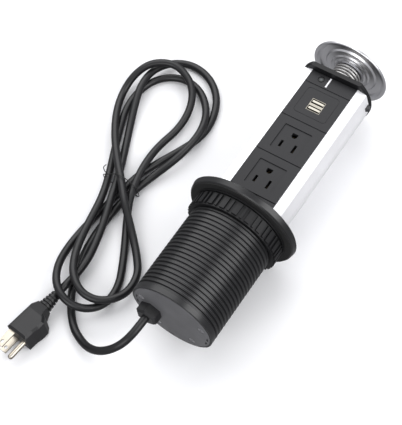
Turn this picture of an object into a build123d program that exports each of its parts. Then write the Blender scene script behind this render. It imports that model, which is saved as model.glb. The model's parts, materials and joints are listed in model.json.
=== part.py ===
from build123d import *
import math
import os

# Pop up desk socket, shown pulled out and lying on its side. All sizes are in millimetres.
# The socket's axis runs along +Y, from the cable gland at the foot to the chrome lid, and the
# outlets look up along +Z. While it is built, the axis is at x = 0, z = 0, and y = 0 is the
# flange's underside, where the desk top would be. place() then lifts it onto the table.

# Driving dimensions

column_out = 153.8              # how far the column stands out of the desk when it is pulled up
corner_x = 30.9                 # column section: corner between its front bevel and its side
corner_z = 16.0
side_x = 33.8                   # where the flat side runs into the round back
side_z = 3.0
lip_x = 22.55                   # front lip beside the modules
lip_z = 18.4
shell_wall = 1.7
sliding_gap = 0.35              # between the column and what it slides in
joint_gap = 0.15                # between two pieces that are fixed together
running_gap = 0.07              # a round shaft in its round hole
touch_gap = 0.3                 # between curved faces of pieces that move apart
overrun = 5.0                   # how far a cutting shape runs past what it cuts

# Threaded sleeve and flange
sleeve_wall = 1.75
thread_depth = 1.3
thread_pitch = 4.0
sleeve_length = 101.4
end_ring_length = 5.0
end_ring_wall = 1.4
flange_r = 51.2
flange_thickness = 6.0
flange_edge = 0.9
collar_wall = 6.0
collar_height = 4.2
gasket_thickness = 0.8
gasket_width = 10.5

# Lock ring and its washer
ring_height = 13.2
ring_wall = 3.0
ring_rib_height = 1.6
ring_groups = 22
wide_rib_width = 4.6
narrow_rib_width = 1.9
rib_end_step = 1.1
washer_thickness = 1.4
washer_wall = 5.0

# Modules on the front of the column
module_pitch = 40.3
module_thickness = 3.0
module_drop = 0.34              # the module faces lie this far below the column's front lip
module_edge = 0.4
switch_module_length = 13.1
usb_module_length = 39.1
ledge_width = 3.0
ledge_thickness = 1.5

# Outlets, two flat blades and a round ground pin
blade_spacing = 12.7
ground_offset = 11.9
slot_width = 2.4
line_slot_length = 6.8
neutral_slot_length = 8.4
ground_hole_r = 2.7             # its round side faces the blades
ground_flat = 2.2               # from the hole's middle to its flat side
outlet_square = 26.2
square_corner = 0.8
square_depth = 0.9              # the square is sunk this far

# Twin charging ports in one metal shell
port_width = 13.1
port_height = 5.7
port_pitch = 7.2
port_depth = 12.0

# Lid, its stem and its spring
cap_overhang = 0.7              # past the column's round back
cap_thickness = 4.2
cap_front_overhang = 5.9        # past the column's front lip
lid_r = 36.2
lid_rim_width = 3.0
lid_thickness = 7.5
neck_length = 20.0
spring_r = 12.2
spring_wire = 2.3
spring_turns = 5.5
stem_r = 8.0

# Foot plate and cable gland
foot_thickness = 3.0
foot_proud = 0.4
gland_x = -20.5
gland_z = -6.0
gland_shoulder = 3.4            # how far the gland's flats stand out past its neck
gland_length = 9.3
cord_d = 7.0

# Worked out from the above
back_r = math.hypot(side_x, side_z)
bore_r = max(math.hypot(corner_x, corner_z), back_r) + sliding_gap
root_r = bore_r + sleeve_wall
crest_r = root_r + thread_depth
sleeve_foot = -sleeve_length
foot_seat_r = crest_r - end_ring_wall
foot_outer = sleeve_foot - foot_proud
foot_inner = foot_outer + foot_thickness
cap_r = back_r + cap_overhang
cap_front_z = lip_z + cap_front_overhang
cap_top = column_out + cap_thickness
lid_rim = cap_top + neck_length
lid_top = lid_rim + lid_thickness
lid_lip_r = lid_r - lid_rim_width
module_face_z = lip_z - module_drop
gland_end = foot_outer - gland_length
middle_y = (lid_top + gland_end) / 2
axis_height = flange_r


# Helpers

def bar(section, low, high):
    """A prism of a section drawn in x and z, from y = low to y = high."""
    return extrude(Plane.XZ.offset(-high) * section, amount=high - low)


def rod(r, low, high, x=0, z=0):
    return bar(Pos(x, z) * Circle(r), low, high)


def ring(outer, inner, low, high, x=0, z=0):
    return rod(outer, low, high, x, z) - rod(inner, low - overrun, high + overrun, x, z)


def block(x0, x1, y0, y1, z0, z1):
    return Pos((x0 + x1) / 2, (y0 + y1) / 2, (z0 + z1) / 2) * Box(x1 - x0, y1 - y0, z1 - z0)


def post(r, z0, z1, x, y):
    return Pos(x, y, (z0 + z1) / 2) * Cylinder(r, z1 - z0)


def turned(points):
    """A solid of revolution about the axis, from points given as radius and y."""
    outline = Polyline(*points, close=True)
    return revolve(make_face(outline), axis=Axis.Y)


def place(shape):
    return Pos(0, -middle_y, axis_height) * shape


os.makedirs("parts", exist_ok=True)


def save(node, shape):
    shape.label = node
    export_step(shape, "parts/" + node + ".step")


def save_group(node, solids):
    save(node, Compound(children=[s.solid() for s in solids]))


# Column section

def column_outline():
    edges = Polyline((-side_x, side_z), (-corner_x, corner_z), (-lip_x, lip_z),
                     (lip_x, lip_z), (corner_x, corner_z), (side_x, side_z))
    back = ThreePointArc((side_x, side_z), (0, -back_r), (-side_x, side_z))
    return make_face(edges + back)


port_r = 1.55                   # screw channels down the column, and their walls
channel_r = 3.2
side_channel_x = 28.8
side_channel_z = 7.6
back_channel_x = 16.6
back_channel_z = -24.6
channel_places = [(side * x, z) for x, z in ((side_channel_x, side_channel_z),
                                            (back_channel_x, back_channel_z)) for side in (1, -1)]
catch_below = 3.4               # sprung catch on the column's side, this far below the cap
catch_y = column_out - catch_below
catch_z = 3.4
catch_length = 5.6
catch_width = 4.0
catch_out = 2.9
catch_shoulder = 0.6            # the catch is this much wider, each way, inside the wall
catch_stop_depth = 2.5          # the wall that the shoulders stop against is this thick
catch_stop_x = side_x - catch_stop_depth


def column_shell():
    outer = column_outline()
    inner = offset(outer, amount=-shell_wall)
    ledge_top = module_face_z - module_thickness
    ledge_low = ledge_top - ledge_thickness
    ledges = outer & Pos(0, (ledge_top + ledge_low) / 2) * Rectangle(2 * side_x, ledge_thickness)
    channels = Sketch() + [Pos(x, z) * Circle(channel_r) for x, z in channel_places]
    section = outer - inner + ledges + (channels & outer)
    mouth_x = lip_x - joint_gap
    section -= Pos(0, ledge_top + overrun) * Rectangle(2 * mouth_x, 2 * overrun)
    section -= Pos(0, ledge_low) * Rectangle(2 * (mouth_x - ledge_width), 2 * overrun)
    section -= [Pos(x, z) * Circle(port_r) for x, z in channel_places]
    shell = bar(section, foot_inner, column_out)
    half = catch_length / 2 + joint_gap
    side = catch_width / 2 + joint_gap
    shell -= block(side_x - 2 * overrun, side_x + overrun, catch_y - half, catch_y + half,
                   catch_z - side, catch_z + side)
    half += catch_shoulder
    shell -= block(side_x - 2 * overrun, catch_stop_x, catch_y - half, catch_y + half,
                   catch_z - side, catch_z + side)
    return shell


# Sleeve, flange and collar

crest_share = 0.34              # of one thread pitch
root_share = 0.30
flank_share = (1 - crest_share - root_share) / 2
collar_r = bore_r + collar_wall
keyway_y = 0.4                  # foot of the catch's keyway, above the desk top


def threaded_sleeve():
    outline = [(bore_r, foot_inner), (foot_seat_r, foot_inner), (foot_seat_r, sleeve_foot),
               (crest_r, sleeve_foot),
               (crest_r, sleeve_foot + end_ring_length)]
    start = sleeve_foot + end_ring_length
    turns = int(-start / thread_pitch)
    for turn in range(turns):
        y = start + turn * thread_pitch
        outline += [(root_r, y + flank_share * thread_pitch),
                    (root_r, y + (flank_share + root_share) * thread_pitch),
                    (crest_r, y + (2 * flank_share + root_share) * thread_pitch),
                    (crest_r, y + thread_pitch)]
    outline += [(crest_r, 0), (flange_r - 2 * flange_edge, 0), (flange_r - flange_edge, flange_edge),
                (flange_r, flange_thickness - flange_edge),
                (flange_r - flange_edge, flange_thickness),
                (collar_r, flange_thickness), (collar_r, flange_thickness - collar_height),
                (bore_r, flange_thickness - collar_height)]
    return turned(outline) - keyway()


def keyway():
    """The groove that the catch's nose runs in, cut in the collar and the flange."""
    nose = side_x + catch_out + touch_gap
    side = catch_width / 2 + touch_gap
    return block(side_x - overrun, nose, keyway_y, flange_thickness + overrun,
                 catch_z - side, catch_z + side)


def guide_collar():
    body = rod(collar_r - joint_gap, flange_thickness - collar_height, flange_thickness)
    hole = offset(column_outline(), amount=sliding_gap, kind=Kind.INTERSECTION)
    body -= bar(hole, -overrun, flange_thickness + overrun)
    return body - keyway()


def flange_gasket():
    inner = crest_r + touch_gap
    return ring(inner + gasket_width, inner, -gasket_thickness, 0)


def lock_ring_top():
    return -gasket_thickness - 2 * joint_gap - washer_thickness - joint_gap


def clamp_washer():
    high = -gasket_thickness - 2 * joint_gap
    return ring(crest_r + washer_wall, crest_r + touch_gap, high - washer_thickness, high)


def lock_ring():
    high = lock_ring_top()
    low = high - ring_height
    base_r = crest_r + ring_wall
    tip = Circle(base_r + ring_rib_height)
    ribs = Sketch()
    for group in range(ring_groups):
        angle = 360 / ring_groups * group
        for turn, width in ((0, wide_rib_width), (180 / ring_groups, narrow_rib_width)):
            ribs += Rot(0, 0, angle + turn) * Pos(base_r, 0) * Rectangle(2 * ring_rib_height, width)
    ribs = ribs & tip
    body = rod(base_r, low, high) + bar(ribs + Circle(base_r), low + rib_end_step, high - rib_end_step)
    return body - rod(crest_r + running_gap, low - overrun, high + overrun)


# Top cap, lid, stem and spring

spigot_length = 5.0
head_r = 2.8                    # pan head screws
head_height = 1.8
screw_r = 1.5
screw_length = 10.0
clip_width = 1.0
clip_reach = 1.6
clip_r = stem_r + clip_reach
clip_gap = 0.1                  # between the clip and the spigot's end
groove_play = 0.025             # between the clip and each side of its groove


def top_cap():
    face = Circle(cap_r) - Pos(0, cap_front_z + cap_r) * Rectangle(4 * cap_r, 2 * cap_r)
    body = bar(face, column_out, cap_top)
    body = chamfer(body.edges().filter_by(GeomType.CIRCLE), flange_edge)
    spigot = rod(stem_r + shell_wall, column_out - spigot_length, column_out)
    body += spigot
    body -= rod(stem_r + running_gap, 0, cap_top + overrun)
    for x, z in channel_places:
        body -= rod(screw_r + joint_gap, 0, cap_top + overrun, x, z)
        body -= rod(head_r + joint_gap, cap_top - head_height - joint_gap, cap_top + overrun, x, z)
    return body


def pan_screw(x, z, face, inward):
    """A screw whose head sits below a face at y = face and whose shank runs inward, +1 or -1."""
    under = face + inward * (head_height + joint_gap)
    tip = under + inward * screw_length
    top = face + inward * joint_gap
    screw = rod(head_r, min(top, under), max(top, under), x, z)
    screw += rod(screw_r, min(under, tip), max(under, tip), x, z)
    slot_depth = head_height / 2
    low, high = sorted((top, top + inward * slot_depth))
    half = screw_r / 4
    for wide, tall in ((screw_r, half), (half, screw_r)):
        screw -= block(x - wide, x + wide, low - joint_gap, high, z - tall, z + tall)
    return screw


def cap_screws():
    return [pan_screw(x, z, cap_top, -1) for x, z in channel_places]


lid_edge = 1.3                  # rolled edge of the lid
dish_steps = 1.1                # how deep each ring of the dish is
step_width = 1.4
dish_r = lid_lip_r - step_width
boss_margin = 1.25
boss_r = spring_r + spring_wire / 2 + boss_margin
inner_ring_width = 3.4
outer_ring_width = 6.0
inner_step_r = boss_r + inner_ring_width
outer_step_r = inner_step_r + outer_ring_width


def lid():
    """The chrome lid: a low dome above, and a dished underside with two rings in it."""
    deep = lid_rim + 2 * dish_steps + lid_edge
    under = [(0, lid_rim), (boss_r, lid_rim), (boss_r + step_width, lid_rim + dish_steps),
             (inner_step_r, lid_rim + dish_steps),
             (inner_step_r + step_width, lid_rim + 2 * dish_steps),
             (outer_step_r, lid_rim + 2 * dish_steps), (outer_step_r + step_width, deep),
             (dish_r - step_width, deep), (dish_r, deep - dish_steps), (lid_lip_r, lid_rim)]
    rim_high = lid_rim + 2 * lid_edge
    edges = [Polyline(*under, (lid_r - lid_edge, lid_rim)),
             ThreePointArc((lid_r - lid_edge, lid_rim), (lid_r, lid_rim + lid_edge),
                           (lid_r - lid_edge, rim_high)),
             TangentArc((0, lid_top), (lid_r - lid_edge, rim_high), tangent=(1, 0)),
             Line((0, lid_top), (0, lid_rim))]
    return revolve(make_face(edges), axis=Axis.Y)


seat_thickness = 1.0


def clip_top():
    return column_out - spigot_length - clip_gap


def lid_stem():
    low = clip_top() - 3 * clip_width
    stem = rod(stem_r, low, lid_rim)
    stem += rod(spring_r + spring_wire / 2, lid_rim - seat_thickness, lid_rim)
    groove = ring(stem_r + overrun, stem_r - clip_width, clip_top() - clip_width, clip_top())
    return stem - groove


def retaining_clip():
    low = clip_top() - clip_width + groove_play
    high = clip_top() - groove_play
    clip = ring(clip_r, stem_r - clip_width + 2 * groove_play, low, high)
    return clip - block(-stem_r / 2, stem_r / 2, low - overrun, high + overrun, -clip_r - overrun, 0)


def biarc(p0, t0, p1, t1):
    """Two arcs that join p0 to p1 and run along t0 and t1 there."""
    chord = p1 - p0
    both = t0 + t1
    gap = 2 * (1 - t0.dot(t1))
    along = chord.dot(both)
    d = (math.sqrt(along * along + gap * chord.dot(chord)) - along) / gap
    q0 = p0 + t0 * d
    q1 = p1 - t1 * d
    joint = (q0 + q1) * (1 / 2)
    return [TangentArc(p0, joint, tangent=t0), TangentArc(joint, p1, tangent=q1 - q0)]


def coil(mean_r, wire, turns, low, high):
    """A coil about the axis between two seats, as one tube swept on arcs of a quarter turn."""
    first = low + wire / 2
    rise = (high - low - wire) / turns
    slope = rise / math.tau
    steps = int(turns * 4)          # quarter turns
    arcs = []
    for step in range(steps + 1):
        angle = step * math.pi / 2
        point = Vector(mean_r * math.cos(angle), first + slope * angle, mean_r * math.sin(angle))
        along = Vector(-mean_r * math.sin(angle), slope, mean_r * math.cos(angle)).normalized()
        if step:
            arcs += biarc(last_point, last_along, point, along)
        last_point, last_along = point, along
    path = Wire(arcs)
    section = Plane(path @ 0, z_dir=path % 0) * Circle(wire / 2)
    gap = rise * math.cos(math.atan2(rise, math.tau * mean_r)) - wire
    print("coil pitch", round(rise, 3), "least gap", round(gap, 3))
    return sweep(section, path=path)


def lid_spring():
    return coil(spring_r, spring_wire, spring_turns, cap_top, lid_rim - seat_thickness)


# Foot plate and gland

slot_long = 5.0
slot_short = 1.5
slot_inset = 2.8                # from the plate's seat to the middle of its slots
slot_ring_r = foot_seat_r - slot_inset
slot_angles = [172, 186, 338, 352, 262]
neck_wall = 2.1                 # round neck of the gland, through the foot plate
neck_r = cord_d / 2 + neck_wall
gland_flats = 2 * (neck_r + gland_shoulder)
hexagon_turn = 30               # stands the gland's hexagon on a corner


def foot_plate():
    plate_r = foot_seat_r - sliding_gap
    body = rod(plate_r, foot_outer, foot_inner)
    for angle in slot_angles:
        body -= bar(Rot(0, 0, angle) * Pos(slot_ring_r, 0) * Rectangle(slot_short, slot_long),
                    foot_outer - overrun, foot_outer + foot_thickness / 2)
    body -= rod(neck_r + joint_gap, foot_outer - overrun, foot_inner + overrun, gland_x, gland_z)
    for x, z in channel_places:
        body -= rod(screw_r + joint_gap, foot_outer - overrun, foot_inner + overrun, x, z)
        body -= rod(head_r + joint_gap, foot_outer - overrun, foot_outer + head_height + joint_gap, x, z)
    return body


def foot_screws():
    return [pan_screw(x, z, foot_outer, 1) for x, z in channel_places]


def cable_gland():
    """Hexagonal gland nut with its round neck through the foot plate."""
    nut = bar(Pos(gland_x, gland_z) * RegularPolygon(gland_flats / 2, 6, major_radius=False,
                                                        rotation=hexagon_turn),
              gland_end, foot_outer)
    nut = chamfer(nut.faces().sort_by(Axis.Y)[0].edges(), shell_wall)
    nut += rod(neck_r, foot_outer, foot_inner, gland_x, gland_z)
    return nut - rod(cord_d / 2, foot_outer - shell_wall, foot_inner + overrun, gland_x, gland_z)


def gland_locknut():
    nut = bar(Pos(gland_x, gland_z) * RegularPolygon(gland_flats / 2 - shell_wall, 6, major_radius=False),
              foot_inner, foot_inner + foot_thickness)
    return nut - rod(cord_d / 2 + joint_gap, foot_inner - overrun, foot_inner + 2 * overrun,
                     gland_x, gland_z)


# Modules

plate_low = module_face_z - module_thickness
module_half = lip_x - 2 * joint_gap
switch_low = column_out - switch_module_length
usb_low = switch_low - usb_module_length
upper_low = usb_low - module_pitch
lower_low = upper_low - module_pitch
outlet_shift = -0.75            # the outlet squares sit this far below the middle of their plates
outlet_ys = [low + module_pitch / 2 + outlet_shift for low in (upper_low, lower_low)]
seam_gap = 0.3                  # between one module and the next
box_clearance = 0.4             # between the moulded box behind an outlet and the ledges
box_margin = 3.15               # from the box to each end of its module
box_depth = 12.06
box_wall = 1.6
box_half_x = lip_x - joint_gap - ledge_width - box_clearance
box_half_y = module_pitch / 2 - box_margin
box_low = plate_low - box_depth


def module_plate(low, high):
    plate = block(-module_half, module_half, low + seam_gap / 2, high - seam_gap / 2,
                  plate_low, module_face_z)
    ends = plate.faces().sort_by(Axis.Z)[-1].edges().filter_by(Axis.X)
    return chamfer(ends, module_edge)


button_x = -10.5
button_drop = 5.9               # from the column's end to the button's middle
button_y = column_out - button_drop
button_hole_r = 2.35
button_ring_r = 3.1
button_ring_depth = 1.0
button_press = 1.2
button_flange = 0.9
strip_x = -3.2
strip_drop = 6.15
strip_y = column_out - strip_drop
strip_length = 10.2
strip_width = 1.5
strip_depth = 2.0
switch_drop = 4.06              # from the panel's back to the switch
switch_height = 2.0
switch_size = 6.0
switch_top = plate_low - switch_drop
switch_base = switch_top - switch_height
board_thickness = 1.2
board_post_r = 1.1
board_post_reach = 7.5
board_post_x = button_x - board_post_reach
board_post_spread = 3.0


def switch_panel():
    panel = module_plate(switch_low, column_out)
    panel -= post(button_hole_r, plate_low - overrun, module_face_z + overrun, button_x, button_y)
    panel -= post(button_ring_r, module_face_z - button_ring_depth, module_face_z + overrun,
                  button_x, button_y)
    panel -= indicator_block()
    for side in (-1, 1):
        panel += post(board_post_r, switch_base, plate_low, board_post_x,
                      button_y + side * board_post_spread)
    return panel


def indicator_block():
    return block(strip_x - strip_width / 2, strip_x + strip_width / 2,
                 strip_y - strip_length / 2, strip_y + strip_length / 2,
                 module_face_z - strip_depth, module_face_z)


def power_button():
    low = switch_top + button_press + joint_gap
    button = post(button_hole_r - running_gap, low, module_face_z, button_x, button_y)
    high = plate_low - joint_gap
    return button + post(button_ring_r, high - button_flange, high, button_x, button_y)


def power_switch():
    half = switch_size / 2
    body = block(button_x - half, button_x + half, button_y - half, button_y + half,
                 switch_base, switch_top)
    left = board_post_x - 2 * board_post_r
    board = block(left, button_x + half, button_y - 2 * half, button_y + half + board_post_r,
                  switch_base - board_thickness, switch_base)
    return body + board


port_wall = 0.35
port_gap = 0.1
tongue_thickness = 1.9
tongue_width = 11.0
tongue_length = 11.0
tongue_offset = 0.6             # the tongue lies nearer one long side of its port
usb_shift = 0.2                 # the ports sit this far above the middle of their plate
usb_frame_width = 31.5          # shallow groove round the ports
usb_frame_length = 28.0
usb_frame_corner = 3.0
usb_frame_shift = 1.5           # from the middle of the plate to the middle of the groove
frame_groove = 0.4
frame_groove_depth = 0.25
usb_board_inset_x = 2.0
usb_board_inset_y = 3.05
usb_middle = (usb_low + switch_low) / 2
usb_y = usb_middle + usb_shift
usb_board_half_x = box_half_x - usb_board_inset_x
usb_board_half_y = usb_module_length / 2 - usb_board_inset_y
usb_post_r = 1.8
coil_block = 16.0               # transformer on the charging board
coil_height = 10.0
capacitor_r = 4.0


def port_openings():
    """The insides of the two ports, one above the other."""
    inset = port_gap + port_wall
    return [Pos(0, usb_y + side * port_pitch / 2)
            * Rectangle(port_width - 2 * inset, port_height - 2 * inset) for side in (-1, 1)]


def port_frame(inset):
    """The outline round both ports, drawn smaller by an inset."""
    return Pos(0, usb_y) * Rectangle(port_width - 2 * inset, port_pitch + port_height - 2 * inset)


def raised(section, z0, z1):
    """A prism of a section drawn in x and y, from z0 to z1."""
    return extrude(Plane.XY.offset(z0) * section, amount=z1 - z0)


def usb_panel():
    panel = module_plate(usb_low, switch_low)
    panel -= raised(port_frame(0), plate_low - overrun, module_face_z + overrun)
    outline = RectangleRounded(usb_frame_width, usb_frame_length, usb_frame_corner)
    inside = offset(outline, amount=-frame_groove)
    panel -= raised(Pos(0, usb_middle + usb_frame_shift) * (outline - inside),
                    module_face_z - frame_groove_depth, module_face_z + overrun)
    for across in (-1, 1):
        for along in (-1, 1):
            panel += post(usb_post_r, module_face_z - port_depth, plate_low,
                          across * (usb_board_half_x - usb_post_r),
                          usb_middle + along * (usb_board_half_y - usb_post_r))
    return panel


def usb_shell():
    low = module_face_z - port_depth
    shell = raised(port_frame(port_gap), low, module_face_z)
    for opening in port_openings():
        shell -= raised(opening, low + port_wall, module_face_z + overrun)
    return shell


def usb_tongues():
    low = module_face_z - port_depth + port_wall
    tongues = []
    for side in (-1, 1):
        y = usb_y + side * port_pitch / 2 + tongue_offset
        tongues.append(block(-tongue_width / 2, tongue_width / 2, y - tongue_thickness / 2,
                             y + tongue_thickness / 2, low, low + tongue_length))
    return tongues


def usb_board():
    top = module_face_z - port_depth
    low = top - board_thickness
    board = block(-usb_board_half_x, usb_board_half_x, usb_middle - usb_board_half_y,
                  usb_middle + usb_board_half_y, low, top)
    board += block(-coil_block / 2, coil_block / 2, usb_middle - coil_block / 2,
                   usb_middle + coil_block / 2, low - coil_height, low)
    for side in (-1, 1):
        board += post(capacitor_r, low - coil_height, low, side * (usb_board_half_x - capacitor_r),
                      usb_middle)
    return board


def blade_slots(y):
    """Sections of an outlet's three holes; the longer slot is the neutral one."""
    slot_y = y - ground_offset / 2
    for x, length in ((-blade_spacing / 2, line_slot_length), (blade_spacing / 2, neutral_slot_length)):
        yield Pos(x, slot_y) * Rectangle(slot_width, length)
    arch = Circle(ground_hole_r) + Pos(0, ground_flat / 2) * Rectangle(2 * ground_hole_r, ground_flat)
    beyond = Pos(0, ground_flat + ground_hole_r) * Rectangle(4 * ground_hole_r, 2 * ground_hole_r)
    yield Pos(0, y + ground_offset / 2) * (arch - beyond)


def outlet_face(low, y):
    face = module_plate(low, low + module_pitch)
    middle = low + module_pitch / 2
    case = block(-box_half_x, box_half_x, middle - box_half_y, middle + box_half_y, box_low, plate_low)
    inner_x = box_half_x - box_wall
    inner_y = box_half_y - box_wall
    case -= block(-inner_x, inner_x, middle - inner_y, middle + inner_y,
                  box_low - overrun, plate_low - box_wall)
    face += case
    square = Pos(0, y) * RectangleRounded(outlet_square, outlet_square, square_corner)
    face -= raised(square, module_face_z - square_depth, module_face_z + overrun)
    for hole in blade_slots(y):
        face -= raised(hole, box_low, module_face_z + overrun)
    return face


carrier_low = -3.0
bar_thickness = 1.0
bar_width = 4.0
ground_bar_width = 2.6
leaf_thickness = 0.6
leaf_gap = 0.2                  # between a contact leaf and the edge of its slot
leaf_length = 6.0
leaf_clearance = 1.46           # between the contacts and the front of their box
leaf_top = plate_low - box_wall - leaf_clearance
clip_wall = 0.7
bar_proud = 1.0                 # how far the contact bars stand out of the lower outlet
bar_short = 1.6                 # how far they end below the charging module
bar_start = lower_low - bar_proud
bar_end = usb_low - bar_short


def contact_carrier():
    low = lower_low + joint_gap
    high = usb_low - joint_gap
    carrier = block(-box_half_x, box_half_x, low, high, carrier_low, 0)
    for side in (-1, 1):
        inner, outer = sorted((side * box_half_x, side * (box_half_x - 2 * box_wall)))
        carrier += block(inner, outer, low, high, 0, box_low)
    return carrier


def blade_contact(x):
    contact = block(x - bar_width / 2, x + bar_width / 2, bar_start, bar_end, 0, bar_thickness)
    for y in outlet_ys:
        slot_y = y - ground_offset / 2
        for side in (-1, 1):
            near = x + side * (slot_width / 2 - leaf_gap)
            low, high = sorted((near, near + side * leaf_thickness))
            contact += block(low, high, slot_y - leaf_length / 2, slot_y + leaf_length / 2,
                             bar_thickness, leaf_top)
    return contact


def ground_contact():
    half = ground_bar_width / 2
    contact = block(-half, half, bar_start, bar_end, 0, bar_thickness)
    for y in outlet_ys:
        hole_y = y + ground_offset / 2
        contact += post(ground_hole_r, bar_thickness, leaf_top, 0, hole_y)
        contact -= post(ground_hole_r - clip_wall, 2 * bar_thickness, leaf_top + overrun, 0, hole_y)
    return contact


def filler_panel():
    return module_plate(foot_inner + seam_gap / 2, lower_low)


# Catch

catch_tail = 9.0
catch_tip_share = 0.35
catch_spring_length = 6.35
guide_wall = 1.3
guide_side_wall = 2.25
guide_overlap = 2.85            # how far the guide reaches round the catch's tail
catch_coil_r = 1.1
catch_wire = 0.35
catch_turns = 6.5
catch_root = catch_stop_x - joint_gap
catch_end = catch_root - catch_tail
guide_back = catch_end - catch_spring_length - guide_wall


def catch():
    tip = side_x + catch_out
    half = catch_length / 2
    side = catch_width / 2
    root = catch_root
    flat = half * catch_tip_share
    outline = Polyline((root, -half), (tip - catch_out, -half), (tip, -flat), (tip, flat),
                       (tip - catch_out, half), (root, half), close=True)
    nose = Pos(0, catch_y) * make_face(outline)
    body = raised(nose, catch_z - side, catch_z + side)
    shoulder = half + catch_shoulder - joint_gap
    body += block(root - bar_thickness, root, catch_y - shoulder, catch_y + shoulder,
                  catch_z - side, catch_z + side)
    return body + block(catch_end, root, catch_y - half, catch_y + half, catch_z - side, catch_z + side)


def catch_guide():
    half = catch_length / 2 + joint_gap
    side = catch_width / 2 + joint_gap
    guide_front = catch_end + guide_overlap
    guide = block(guide_back, guide_front, catch_y - half - guide_wall, column_out,
                  catch_z - side - guide_side_wall, catch_z + side + guide_side_wall)
    return guide - block(guide_back + guide_wall, guide_front + overrun, catch_y - half,
                         catch_y + half, catch_z - side, catch_z + side)


def catch_spring():
    spring = coil(catch_coil_r, catch_wire, catch_turns, guide_back + guide_wall, catch_end)
    return Pos(0, catch_y, catch_z) * Rot(0, 0, -90) * spring


# Wires inside the column

wire_r = 1.2
wire_margin = 0.65              # between the wires and the cord's outside
wire_first_run = 18.0           # from the gland to the wires' first bend
wire_last_run = 40.0            # from their last bend to the contact bars
bend_r = 30.0
wire_ring = cord_d / 2 - wire_r - wire_margin


def inside_wire(angle, x):
    """A wire from the gland's locknut to its contact bar."""
    start_y = foot_inner + foot_thickness
    a = math.radians(angle)
    x0 = gland_x + wire_ring * math.cos(a)
    z0 = gland_z + wire_ring * math.sin(a)
    z1 = bar_thickness / 2
    path = FilletPolyline((x0, start_y, z0), (x0, start_y + wire_first_run, z0),
                          (x, bar_start - wire_last_run, z1), (x, bar_start, z1), radius=bend_r)
    section = Plane(path @ 0, z_dir=path % 0) * Circle(wire_r)
    return sweep(section, path=path)


# Cord route

# The middle line of the cord from the gland to the plug, as x, y and height above the table:
# first the free stretch to the table, then the hank's loops, then the stretch to the plug.
lead_route = [
    (-20.5, -148.3, 45.2), (-20.5, -164, 45.2), (-26.5, -178, 39), (-40, -186, 28), (-56, -186, 15.5),
    (-71.5, -180.5, 6.5), (-86, -172.5, 3.6)
]
meeting_point = (-94.25, -162.75, 3.6)
hank_route = [
    (-102.5, -153, 3.6), (-111, -134.5, 3.6), (-117.5, -115, 3.6), (-120.7, -95, 3.6),
    (-121.3, -75, 3.6), (-119.8, -55, 4.6), (-116.5, -36, 4.6), (-110, -15.5, 5.5), (-101, 4, 10.5),
    (-96.5, 25, 12.3), (-97, 47, 12.5), (-109, 70, 6), (-128, 86, 3.6), (-150.5, 89, 3.6),
    (-169.5, 77, 3.6), (-177.5, 56, 3.6), (-176, 32.5, 3.6), (-166.5, 8.5, 3.6), (-155.5, -15.5, 4.2),
    (-145, -37.5, 5), (-134.5, -61, 11), (-130, -83, 12), (-126, -103, 12.2), (-117.5, -124, 16.5),
    (-106, -140, 20.8), (-90, -149.5, 19), (-72.5, -145.5, 14.5), (-60.5, -128, 10), (-63, -106.5, 7),
    (-75.5, -91, 6), (-89, -77.5, 8.5), (-101.5, -66, 14), (-113, -55, 19.5), (-126.5, -40, 18.5),
    (-143, -24, 14.9), (-160.5, -4.5, 12.6), (-176.5, 18, 9.3), (-188.5, 43, 4.5), (-187.5, 64, 12.3),
    (-177.5, 81, 18.8), (-159, 91, 17.7), (-141, 87, 14), (-128, 76, 10.5), (-120.5, 58, 7),
    (-119.5, 36.5, 5), (-123.5, 14, 7), (-122, -9, 11.3), (-117.8, -30.5, 12.7), (-112, -50, 11.5),
    (-103.5, -67.5, 5), (-93, -85, 3.6), (-82, -104, 3.6), (-73.3, -122, 3.6), (-71.5, -141, 5),
    (-80.5, -157, 10.5), (-96.5, -162.5, 17.9), (-113, -155, 21.4), (-127, -136, 14), (-134.5, -110, 3.8),
    (-133, -85, 3.6), (-130, -63, 4.2), (-126, -41.5, 4.8), (-123, -20.5, 4), (-115, -0.5, 3.6),
    (-105, 20.5, 3.6), (-96.5, 42.5, 3.6), (-98.5, 65.5, 3.6), (-108.5, 86.5, 3.6),
    (-126.5, 101.5, 3.6), (-148, 106.5, 3.6), (-166.5, 99, 5), (-176.5, 79.5, 9.6), (-175, 57, 12),
    (-168, 36.5, 7.8), (-158, 12, 3.8), (-147.3, -10.5, 4.2), (-136, -33, 8.8), (-127, -55.5, 13.3),
    (-119.2, -77, 11.8), (-113, -97, 11.2), (-108.5, -116, 11), (-107.7, -131, 11.8),
    (-109.4, -145, 12), (-110.9, -158.5, 12)
]


# Plug

plug_x, plug_y, plug_z = hank_route[-1]
plug_turn = math.degrees(math.atan2(plug_x - hank_route[-2][0], hank_route[-2][1] - plug_y))
relief_length = 15.5
relief_r = 4.3
relief_tip_r = 3.9
rib_r = 6.6
rib_tip_r = 4.5
rib_width = 1.7
rib_count = 5
plug_length = 34.0
plug_half_height = 11.9
plug_half_width = 15.0
plug_edge = 2.0
blade_width = 6.35
blade_thickness = 1.5
blade_length = 15.9
blade_hole_r = 1.6
blade_hole_inset = 4.0
pin_r = 2.4
pin_length = 18.5
pin_tip_share = 0.8             # of the pin's radius
blade_t = -3.0                  # the blades stand to one side of the cord's line
root_depth = 6.0                # how far the blades are set in the plug
set_gap = 0.015                 # between the moulding and the metal set in it


def plug_frame(shape):
    """Turns a piece drawn with the cord's line along its x to where the plug lies."""
    return Pos(plug_x, plug_y, plug_z) * Rot(0, 0, -90 + plug_turn) * shape


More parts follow.
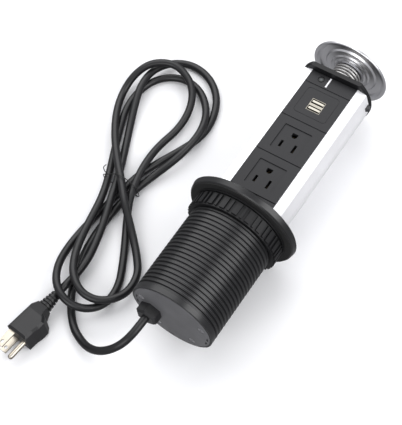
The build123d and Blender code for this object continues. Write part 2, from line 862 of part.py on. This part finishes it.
def plug_relief():
    outline = [(0, 0), (0, relief_tip_r)]
    step = relief_length / rib_count
    for rib in range(rib_count):
        share = rib / rib_count
        core = relief_tip_r + (relief_r - relief_tip_r) * share
        tip = rib_tip_r + (rib_r - rib_tip_r) * share
        start = rib * step + (step - rib_width) / 2
        outline += [(start, core), (start, tip), (start + rib_width, tip), (start + rib_width, core)]
    outline += [(relief_length, relief_r), (relief_length, 0)]
    return plug_frame(revolve(make_face(Polyline(*outline, close=True)), axis=Axis.X))


# The plug's outline, as shares of its length and of half its width
plug_shares = [(0, 0.34), (0.191, 0.45), (0.279, 0.8), (0.397, 1), (0.574, 1), (0.75, 0.907),
               (1, 0.88), (1, -0.53), (0.162, -0.42), (0, -0.34)]

# How the body rises from its neck, as shares of its length and of half its height
rise_shares = [(-0.1, 0.33), (0.3, 1), (1.1, 1)]


def plug_body():
    outline = [(relief_length + plug_length * along, plug_half_width * across)
               for along, across in plug_shares]
    body = extrude(make_face(Polyline(*outline, close=True)), amount=plug_half_height, both=True)
    body = chamfer(body.faces().sort_by(Axis.Z)[-1].edges(), plug_edge)
    body = chamfer(body.faces().sort_by(Axis.Z)[0].edges(), plug_edge)
    top = [(relief_length + plug_length * along, plug_half_height * up) for along, up in rise_shares]
    side = top + [(along, -up) for along, up in reversed(top)]
    body &= extrude(Plane.XZ * make_face(Polyline(*side, close=True)), amount=plug_length, both=True)
    for cut in plug_metal(set_gap):
        body -= cut
    return plug_frame(body)


def plug_metal(gap):
    """The line blade, the neutral blade and the ground pin, each drawn larger by a gap."""
    front = relief_length + plug_length
    for side in (-1, 1):
        z = side * blade_spacing / 2
        blade = block(front - root_depth - gap, front + blade_length, blade_t - blade_width / 2 - gap,
                      blade_t + blade_width / 2 + gap, z - blade_thickness / 2 - gap,
                      z + blade_thickness / 2 + gap)
        blade -= post(blade_hole_r, z - overrun, z + overrun, front + blade_length - blade_hole_inset,
                      blade_t)
        yield blade
    pin = Pos(front - root_depth - gap, blade_t + ground_offset, 0) * Rot(0, 90, 0) * Cylinder(
        pin_r + gap, pin_length + root_depth, align=(Align.CENTER, Align.CENTER, Align.MIN))
    tip = pin.faces().sort_by(Axis.X)[-1].edges()
    yield fillet(tip, pin_r * pin_tip_share)


# Cord

bend_share = 0.45               # how much of the shorter run a bend may use


def bend_radii(points):
    radii = []
    for before, at, after in zip(points, points[1:], points[2:]):
        run_in = Vector(*at) - Vector(*before)
        run_out = Vector(*after) - Vector(*at)
        half_turn = math.radians(run_in.get_angle(run_out)) / 2
        radii.append(bend_share * min(run_in.length, run_out.length) / math.tan(half_turn))
    return radii


def cord_tube(name, points):
    radii = bend_radii(points)
    path = FilletPolyline(*points, radius=radii)
    section = Plane(path @ 0, z_dir=path % 0) * Circle(cord_d / 2)
    tube = sweep(section, path=path)
    volume_share = tube.volume / (path.length * math.pi * cord_d * cord_d / 4)
    print(name, "length", round(path.length, 1), "least radius", round(min(radii), 1),
          "volume over section times length", round(volume_share, 4), "gap to itself",
          round(least_gap(path), 2))
    return tube


def least_gap(path):
    """The least clear distance between two stretches of a tube that are far apart along it."""
    count = int(path.length)
    places = [path @ (i / count) for i in range(count + 1)]
    apart = int(3 * cord_d)
    least = path.length
    for i, place_a in enumerate(places):
        for place_b in places[i + apart:]:
            least = min(least, (place_a - place_b).length)
    return least - cord_d


# Tie round the hank's waist

tie_r = 0.4
tie_bend = 2.4
tie_route = [
    (-149.5, -38.7, 0.5), (-149.5, -38.7, 8.0), (-131.5, -38.7, 23.2), (-122.5, -38.7, 23.0),
    (-110.8, -38.7, 15.2), (-110.8, -38.7, 0.5)
]
tail_route = [(-144.0, -38.7, 12.8), (-146.5, -38.5, 15.2), (-149.0, -37.0, 18.0), (-147.0, -34.5, 20.5)]


def tie_wire(points, close=False):
    path = FilletPolyline(*points, radius=tie_bend, close=close)
    section = Plane(path @ 0, z_dir=path % 0) * Circle(tie_r)
    return sweep(section, path=path)


def twist_tie():
    return tie_wire(tie_route, close=True) + tie_wire(tail_route)


# Save every piece

fixed_pieces = {
    "threaded_sleeve": threaded_sleeve(), "guide_collar": guide_collar(),
    "flange_gasket": flange_gasket(), "clamp_washer": clamp_washer(), "lock_ring": lock_ring(),
    "column_shell": column_shell(), "top_cap": top_cap(), "lid": lid(), "lid_stem": lid_stem(),
    "retaining_clip": retaining_clip(), "lid_spring": lid_spring(), "foot_plate": foot_plate(),
    "cable_gland": cable_gland(), "gland_locknut": gland_locknut(), "switch_panel": switch_panel(),
    "indicator_strip": indicator_block(), "power_button": power_button(),
    "power_switch": power_switch(), "usb_panel": usb_panel(), "usb_shell": usb_shell(),
    "usb_board": usb_board(),
    "outlet_face_upper": outlet_face(upper_low, outlet_ys[0]),
    "outlet_face_lower": outlet_face(lower_low, outlet_ys[1]),
    "contact_carrier": contact_carrier(), "line_contact": blade_contact(-blade_spacing / 2),
    "neutral_contact": blade_contact(blade_spacing / 2), "ground_contact": ground_contact(),
    "filler_panel": filler_panel(), "catch": catch(), "catch_guide": catch_guide(),
    "catch_spring": catch_spring(), "line_wire": inside_wire(210, -blade_spacing / 2),
    "ground_wire": inside_wire(90, 0), "neutral_wire": inside_wire(330, blade_spacing / 2),
}
for node, shape in fixed_pieces.items():
    save(node, place(shape))
for node, solids in (("cap_screws", cap_screws()), ("foot_screws", foot_screws()),
                     ("usb_tongues", usb_tongues())):
    save_group(node, [place(solid) for solid in solids])

line_blade, neutral_blade, ground_pin = plug_metal(0)
save("plug_relief", plug_relief())
save("plug_body", plug_body())
save("line_blade", plug_frame(line_blade))
save("neutral_blade", plug_frame(neutral_blade))
save("ground_pin", plug_frame(ground_pin))
save("cord_lead", cord_tube("cord_lead", lead_route + [meeting_point]))
save("cord_hank", cord_tube("cord_hank", [meeting_point] + hank_route))
save("twist_tie", twist_tie())
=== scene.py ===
import json
import math

import bpy
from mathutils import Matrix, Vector


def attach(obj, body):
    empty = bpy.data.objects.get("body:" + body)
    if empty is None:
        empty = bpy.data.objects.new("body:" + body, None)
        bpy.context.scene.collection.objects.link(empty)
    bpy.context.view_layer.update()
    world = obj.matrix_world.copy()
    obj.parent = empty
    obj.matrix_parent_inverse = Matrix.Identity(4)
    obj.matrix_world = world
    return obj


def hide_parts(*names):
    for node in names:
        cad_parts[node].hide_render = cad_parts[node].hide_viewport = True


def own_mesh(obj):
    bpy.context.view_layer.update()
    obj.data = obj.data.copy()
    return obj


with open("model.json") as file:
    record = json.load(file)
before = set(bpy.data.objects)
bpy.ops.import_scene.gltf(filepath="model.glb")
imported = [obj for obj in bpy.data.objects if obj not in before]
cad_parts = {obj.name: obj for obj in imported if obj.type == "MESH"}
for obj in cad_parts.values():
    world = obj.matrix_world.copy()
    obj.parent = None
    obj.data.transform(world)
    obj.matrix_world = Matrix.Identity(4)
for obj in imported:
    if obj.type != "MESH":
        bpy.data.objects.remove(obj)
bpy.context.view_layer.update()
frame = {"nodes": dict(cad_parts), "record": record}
nodes = frame["nodes"]


# Materials

ramp_start = 0.3                # where a ramp between two colours starts and ends
ramp_end = 0.7
drift_grain = 60                # grains per metre of the slow change of colour
fine_grain = 2500               # grains per metre of moulded plastic
edge_bump = 0.0001              # height of the grain, in metres


def new_material(name):
    material = bpy.data.materials.new(name)
    material.use_nodes = True
    tree = material.node_tree
    shader = tree.nodes["Principled BSDF"]
    coords = tree.nodes.new("ShaderNodeTexCoord")
    return material, tree, shader, coords


def noise(tree, coords, scale, detail=4.0, stretch=None):
    """A noise texture in object space, in grains per metre, stretched along an axis if asked."""
    texture = tree.nodes.new("ShaderNodeTexNoise")
    texture.inputs["Scale"].default_value = scale
    texture.inputs["Detail"].default_value = detail
    mapping = tree.nodes.new("ShaderNodeMapping")
    mapping.inputs["Scale"].default_value = stretch or (1, 1, 1)
    tree.links.new(coords.outputs["Object"], mapping.inputs["Vector"])
    tree.links.new(mapping.outputs["Vector"], texture.inputs["Vector"])
    return texture


def ramp(tree, source, low, high):
    """Maps a 0 to 1 value onto two colours."""
    node = tree.nodes.new("ShaderNodeValToRGB")
    node.color_ramp.elements[0].color = (*low, 1)
    node.color_ramp.elements[1].color = (*high, 1)
    node.color_ramp.elements[0].position = ramp_start
    node.color_ramp.elements[1].position = ramp_end
    tree.links.new(source, node.inputs["Fac"])
    return node


def spread(tree, source, low, high):
    """Maps a 0 to 1 value onto a range of numbers."""
    node = tree.nodes.new("ShaderNodeMapRange")
    node.inputs["To Min"].default_value = low
    node.inputs["To Max"].default_value = high
    tree.links.new(source, node.inputs["Value"])
    return node


def bump(tree, shader, source, strength, distance):
    node = tree.nodes.new("ShaderNodeBump")
    node.inputs["Strength"].default_value = strength
    node.inputs["Distance"].default_value = distance
    tree.links.new(source, node.inputs["Height"])
    tree.links.new(node.outputs["Normal"], shader.inputs["Normal"])


def finish(name, colour, roughness, metallic=0.0, grain=1800, relief=0.15, depth=edge_bump,
           contrast=0.12, stretch=None, coat=0.0, specular=0.5):
    """A surface whose colour and roughness drift a little and whose grain stands up a little."""
    material, tree, shader, coords = new_material(name)
    shader.inputs["Metallic"].default_value = metallic
    shader.inputs["Coat Weight"].default_value = coat
    shader.inputs["Specular IOR Level"].default_value = specular
    drift = noise(tree, coords, drift_grain)
    low = [c * (1 - contrast) for c in colour]
    high = [min(1.0, c * (1 + contrast)) for c in colour]
    shade = ramp(tree, drift.outputs["Fac"], low, high)
    tree.links.new(shade.outputs["Color"], shader.inputs["Base Color"])
    fine = noise(tree, coords, grain, stretch=stretch)
    rough = spread(tree, fine.outputs["Fac"], roughness * 0.85, min(1.0, roughness * 1.15))
    tree.links.new(rough.outputs["Result"], shader.inputs["Roughness"])
    bump(tree, shader, fine.outputs["Fac"], relief, depth)
    return material


painted_shade_below = 0.0012             # how far under the level the painted shade of a recess is darkest
painted_shade_above = 0.0002


def recess_shaded(name, top, painted_shade, height, metallic):
    """A surface in its own colour above a height over the floor, and dark with painted shade just below it,
    as in a recess.
    """
    material, tree, shader, coords = new_material(name)
    parts = tree.nodes.new("ShaderNodeSeparateXYZ")
    tree.links.new(coords.outputs["Object"], parts.inputs["Vector"])
    level = spread(tree, parts.outputs["Z"], 0, 1)
    level.inputs["From Min"].default_value = height - painted_shade_below
    level.inputs["From Max"].default_value = height + painted_shade_above
    tone = ramp(tree, level.outputs["Result"], painted_shade, top)
    tree.links.new(tone.outputs["Color"], shader.inputs["Base Color"])
    shader.inputs["Metallic"].default_value = metallic
    shader.inputs["Roughness"].default_value = 0.4
    bump(tree, shader, noise(tree, coords, fine_grain).outputs["Fac"], 0.1, edge_bump)
    return material


def highlight_spotted(name, outer, inner, centre, radius):
    """A dark surface with a lighter round spot on it, a painted highlight."""
    material, tree, shader, coords = new_material(name)
    away = tree.nodes.new("ShaderNodeVectorMath")
    away.operation = "DISTANCE"
    away.inputs[1].default_value = centre
    tree.links.new(coords.outputs["Object"], away.inputs[0])
    edge = spread(tree, away.outputs["Value"], 0, 1)
    edge.inputs["From Min"].default_value = 0.7 * radius
    edge.inputs["From Max"].default_value = 1.3 * radius
    tone = ramp(tree, edge.outputs["Result"], inner, outer)
    tree.links.new(tone.outputs["Color"], shader.inputs["Base Color"])
    shader.inputs["Roughness"].default_value = 0.35
    bump(tree, shader, noise(tree, coords, fine_grain).outputs["Fac"], 0.1, edge_bump)
    return material


port_level = 0.0694             # heights of the port's rim and of the tongues in it; below them the surfaces get painted shade
tongue_level = 0.0687
# middle and radius of the painted highlight on the button
button_middle = (-0.0105, 0.1107, 0.0693)
button_highlight_r = 0.0011

looks = {
    "sleeve_plastic": finish("sleeve", (0.011, 0.011, 0.012), 0.32, grain=fine_grain, relief=0.1),
    "flange_plastic": finish("flange", (0.011, 0.011, 0.012), 0.5, grain=3000, relief=0.25,
                             specular=0.35),
    "ring_plastic": finish("ring", (0.008, 0.008, 0.009), 0.5, grain=fine_grain, relief=0.12, specular=0.35),
    "gasket_rubber": finish("gasket", (0.01, 0.01, 0.01), 0.8),
    "silver_column": finish("silver", (0.93, 0.93, 0.95), 0.34, metallic=0.4, grain=4000,
                            relief=0.05, contrast=0.03),
    "cap_black": finish("cap", (0.007, 0.007, 0.008), 0.5, grain=3000, relief=0.12, specular=0.35),
    "panel_grey": finish("panel", (0.016, 0.016, 0.018), 0.5, grain=3500, relief=0.12,
                         contrast=0.05, specular=0.35),
    "chrome_lid": finish("chrome", (0.84, 0.84, 0.86), 0.3, metallic=1.0, relief=0.02,
                         contrast=0.02),
    "steel_spring": finish("spring steel", (0.62, 0.61, 0.6), 0.4, metallic=1.0, relief=0.08),
    "zinc_steel": finish("zinc", (0.62, 0.62, 0.64), 0.3, metallic=1.0, relief=0.08),
    # the port is dark below its rim's level with painted shade for the inside of the port
    "port_steel": recess_shaded("port", (0.42, 0.39, 0.33), (0.01, 0.01, 0.01), port_level, 0.3),
    "foot_grey": finish("foot", (0.1, 0.1, 0.105), 0.5, grain=3000, relief=0.15),
    "gland_plastic": finish("gland", (0.012, 0.012, 0.013), 0.35, relief=0.1),
    # the button's lighter middle is a painted highlight
    "button_plastic": highlight_spotted("button", (0.004, 0.005, 0.006), (0.06, 0.07, 0.075),
                              button_middle, button_highlight_r),
    "strip_plastic": finish("strip", (0.75, 0.75, 0.78), 0.3, relief=0.05),
    # the tongues are dark below their level with painted shade
    "tongue_plastic": recess_shaded("tongue", (0.66, 0.62, 0.53), (0.1, 0.09, 0.08), tongue_level, 0.0),
    "board_green": finish("board", (0.02, 0.1, 0.04), 0.45, contrast=0.25),
    # The brass is darker than its own colour: partly its own tone, partly painted shade for the inside of
    # the outlet holes.
    "contact_brass": finish("brass", (0.2, 0.15, 0.08), 0.45, metallic=1.0),
    "inner_plastic": finish("inner", (0.6, 0.6, 0.56), 0.5),
    "catch_plastic": finish("catch", (0.03, 0.03, 0.032), 0.4, relief=0.05),
    "wire_black": finish("black wire", (0.015, 0.015, 0.015), 0.45),
    "wire_white": finish("white wire", (0.7, 0.7, 0.68), 0.45),
    "wire_green": finish("green wire", (0.02, 0.2, 0.05), 0.45),
    "cord_black": finish("cord", (0.007, 0.007, 0.008), 0.38, grain=2600, relief=0.1),
    "plug_black": finish("plug", (0.008, 0.008, 0.009), 0.42, grain=2600, relief=0.15),
    "plug_metal": finish("plug metal", (0.5, 0.46, 0.39), 0.3, metallic=1.0, relief=0.06),
    "tie_black": finish("tie", (0.01, 0.01, 0.01), 0.5),
}
for piece in frame["record"]["subparts"]:
    node = nodes[piece["node"]]
    for material_slot in node.material_slots:
        material_slot.link = "OBJECT"
        material_slot.material = looks[piece["material_slot"]]


# Cord, along the same route as in the part's source, in metres

route = [
    (-0.0205, -0.1483, 0.0452), (-0.0205, -0.164, 0.0452), (-0.0265, -0.178, 0.039),
    (-0.04, -0.186, 0.028), (-0.056, -0.186, 0.0155), (-0.0715, -0.1805, 0.0065),
    (-0.086, -0.1725, 0.0036), (-0.1025, -0.153, 0.0036), (-0.111, -0.1345, 0.0036),
    (-0.1175, -0.115, 0.0036), (-0.1207, -0.095, 0.0036), (-0.1213, -0.075, 0.0036),
    (-0.1198, -0.055, 0.0046), (-0.1165, -0.036, 0.0046), (-0.11, -0.0155, 0.0055),
    (-0.101, 0.004, 0.0105), (-0.0965, 0.025, 0.0123), (-0.097, 0.047, 0.0125), (-0.109, 0.07, 0.006),
    (-0.128, 0.086, 0.0036), (-0.1505, 0.089, 0.0036), (-0.1695, 0.077, 0.0036),
    (-0.1775, 0.056, 0.0036), (-0.176, 0.0325, 0.0036), (-0.1665, 0.0085, 0.0036),
    (-0.1555, -0.0155, 0.0042), (-0.145, -0.0375, 0.005), (-0.1345, -0.061, 0.011),
    (-0.13, -0.083, 0.012), (-0.126, -0.103, 0.0122), (-0.1175, -0.124, 0.0165),
    (-0.106, -0.14, 0.0208), (-0.09, -0.1495, 0.019), (-0.0725, -0.1455, 0.0145),
    (-0.0605, -0.128, 0.01), (-0.063, -0.1065, 0.007), (-0.0755, -0.091, 0.006),
    (-0.089, -0.0775, 0.0085), (-0.1015, -0.066, 0.014), (-0.113, -0.055, 0.0195),
    (-0.1265, -0.04, 0.0185), (-0.143, -0.024, 0.0149), (-0.1605, -0.0045, 0.0126),
    (-0.1765, 0.018, 0.0093), (-0.1885, 0.043, 0.0045), (-0.1875, 0.064, 0.0123),
    (-0.1775, 0.081, 0.0188), (-0.159, 0.091, 0.0177), (-0.141, 0.087, 0.014), (-0.128, 0.076, 0.0105),
    (-0.1205, 0.058, 0.007), (-0.1195, 0.0365, 0.005), (-0.1235, 0.014, 0.007),
    (-0.122, -0.009, 0.0113), (-0.1178, -0.0305, 0.0127), (-0.112, -0.05, 0.0115),
    (-0.1035, -0.0675, 0.005), (-0.093, -0.085, 0.0036), (-0.082, -0.104, 0.0036),
    (-0.0733, -0.122, 0.0036), (-0.0715, -0.141, 0.005), (-0.0805, -0.157, 0.0105),
    (-0.0965, -0.1625, 0.0179), (-0.113, -0.155, 0.0214), (-0.127, -0.136, 0.014),
    (-0.1345, -0.11, 0.0038), (-0.133, -0.085, 0.0036), (-0.13, -0.063, 0.0042),
    (-0.126, -0.0415, 0.0048), (-0.123, -0.0205, 0.004), (-0.115, -0.0005, 0.0036),
    (-0.105, 0.0205, 0.0036), (-0.0965, 0.0425, 0.0036), (-0.0985, 0.0655, 0.0036),
    (-0.1085, 0.0865, 0.0036), (-0.1265, 0.1015, 0.0036), (-0.148, 0.1065, 0.0036),
    (-0.1665, 0.099, 0.005), (-0.1765, 0.0795, 0.0096), (-0.175, 0.057, 0.012),
    (-0.168, 0.0365, 0.0078), (-0.158, 0.012, 0.0038), (-0.1473, -0.0105, 0.0042),
    (-0.136, -0.033, 0.0088), (-0.127, -0.0555, 0.0133), (-0.1192, -0.077, 0.0118),
    (-0.113, -0.097, 0.0112), (-0.1085, -0.116, 0.011), (-0.1077, -0.131, 0.0118),
    (-0.1094, -0.145, 0.012), (-0.1109, -0.1585, 0.012)
]
cord_d = 0.007


def cord_line():
    curve = bpy.data.curves.new("cord", "CURVE")
    curve.dimensions = "3D"
    spline = curve.splines.new("NURBS")
    spline.points.add(len(route) - 1)
    for point, place in zip(spline.points, route):
        point.co = (*place, 1)
    spline.order_u = 3
    spline.use_endpoint_u = True
    spline.resolution_u = 6
    curve.bevel_depth = cord_d / 2
    curve.bevel_resolution = 5
    curve.use_fill_caps = True
    return bpy.data.objects.new("cord", curve)


cord = cord_line()
bpy.context.collection.objects.link(cord)
cord.data.materials.append(looks["cord_black"])
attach(cord, "column")
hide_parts("cord_lead", "cord_hank")


# Springs, copied with their own mesh, in steel, and hung on the column

def pressed(name):
    spring = bpy.data.objects.new(name + "_coil", nodes[name].data.copy())
    spring.matrix_world = nodes[name].matrix_world.copy()
    bpy.context.collection.objects.link(spring)
    spring.data.materials.clear()
    spring.data.materials.append(looks["steel_spring"])
    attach(spring, "column")
    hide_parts(name)
    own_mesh(spring)


pressed("lid_spring")
pressed("catch_spring")


# Floor, lights and camera

floor_size = 12
floor_drop = 0.0002             # keeps the floor clear of what lies on it


def floor():
    bpy.ops.mesh.primitive_plane_add(size=floor_size, location=(0, 0, -floor_drop))
    plane = bpy.context.object
    material, tree, shader, coords = new_material("floor")
    tone = ramp(tree, noise(tree, coords, 3).outputs["Fac"], (0.93, 0.93, 0.94), (0.95, 0.95, 0.96))
    tree.links.new(tone.outputs["Color"], shader.inputs["Base Color"])
    shader.inputs["Roughness"].default_value = 0.9
    shader.inputs["Specular IOR Level"].default_value = 0.1
    # Reflections of the floor show a painted reflection: a flat dark grey glow in place of the lit floor.
    painted_reflection = tree.nodes.new("ShaderNodeEmission")
    painted_reflection.inputs["Color"].default_value = (0.3, 0.3, 0.31, 1)
    rays = tree.nodes.new("ShaderNodeLightPath")
    seen = tree.nodes.new("ShaderNodeMixShader")
    tree.links.new(rays.outputs["Is Glossy Ray"], seen.inputs[0])
    tree.links.new(shader.outputs["BSDF"], seen.inputs[1])
    tree.links.new(painted_reflection.outputs["Emission"], seen.inputs[2])
    tree.links.new(seen.outputs["Shader"], tree.nodes["Material Output"].inputs["Surface"])
    plane.data.materials.append(material)


def area_light(name, place, target, size, power):
    data = bpy.data.lights.new(name, "AREA")
    data.shape = "RECTANGLE"
    data.size, data.size_y = size
    data.energy = power
    light = bpy.data.objects.new(name, data)
    light.location = place
    light.rotation_euler = (Vector(target) - Vector(place)).to_track_quat("-Z", "Y").to_euler()
    bpy.context.collection.objects.link(light)


floor()
area_light("key", (-0.9, 0.9, 1.6), (0, 0, 0), (2.4, 2.4), 36)
area_light("fill", (1.6, 0.2, 1.3), (0, 0, 0), (1.2, 1.6), 24)
area_light("front", (0.2, -1.7, 1.2), (0, 0, 0.05), (1.6, 0.9), 14)

world = bpy.data.worlds.new("studio")
bpy.context.scene.world = world
world.use_nodes = True
backdrop = world.node_tree.nodes["Background"]
backdrop.inputs["Color"].default_value = (0.95, 0.96, 1.0, 1)
backdrop.inputs["Strength"].default_value = 0.5

camera_data = bpy.data.cameras.new("camera")
camera_data.sensor_fit = "HORIZONTAL"
camera_data.sensor_width = 36
camera_data.lens = 108.93       # fitted to the photo, as are the camera's place and turn
camera_data.clip_start = 0.01
camera_data.dof.use_dof = False
camera = bpy.data.objects.new("camera", camera_data)
camera.location = (0.3162, -0.4306, 0.926)
camera.rotation_euler = [math.radians(a) for a in (30.35, 5.10, 33.66)]
bpy.context.collection.objects.link(camera)
bpy.context.scene.camera = camera
bpy.context.scene.view_settings.view_transform = "Standard"
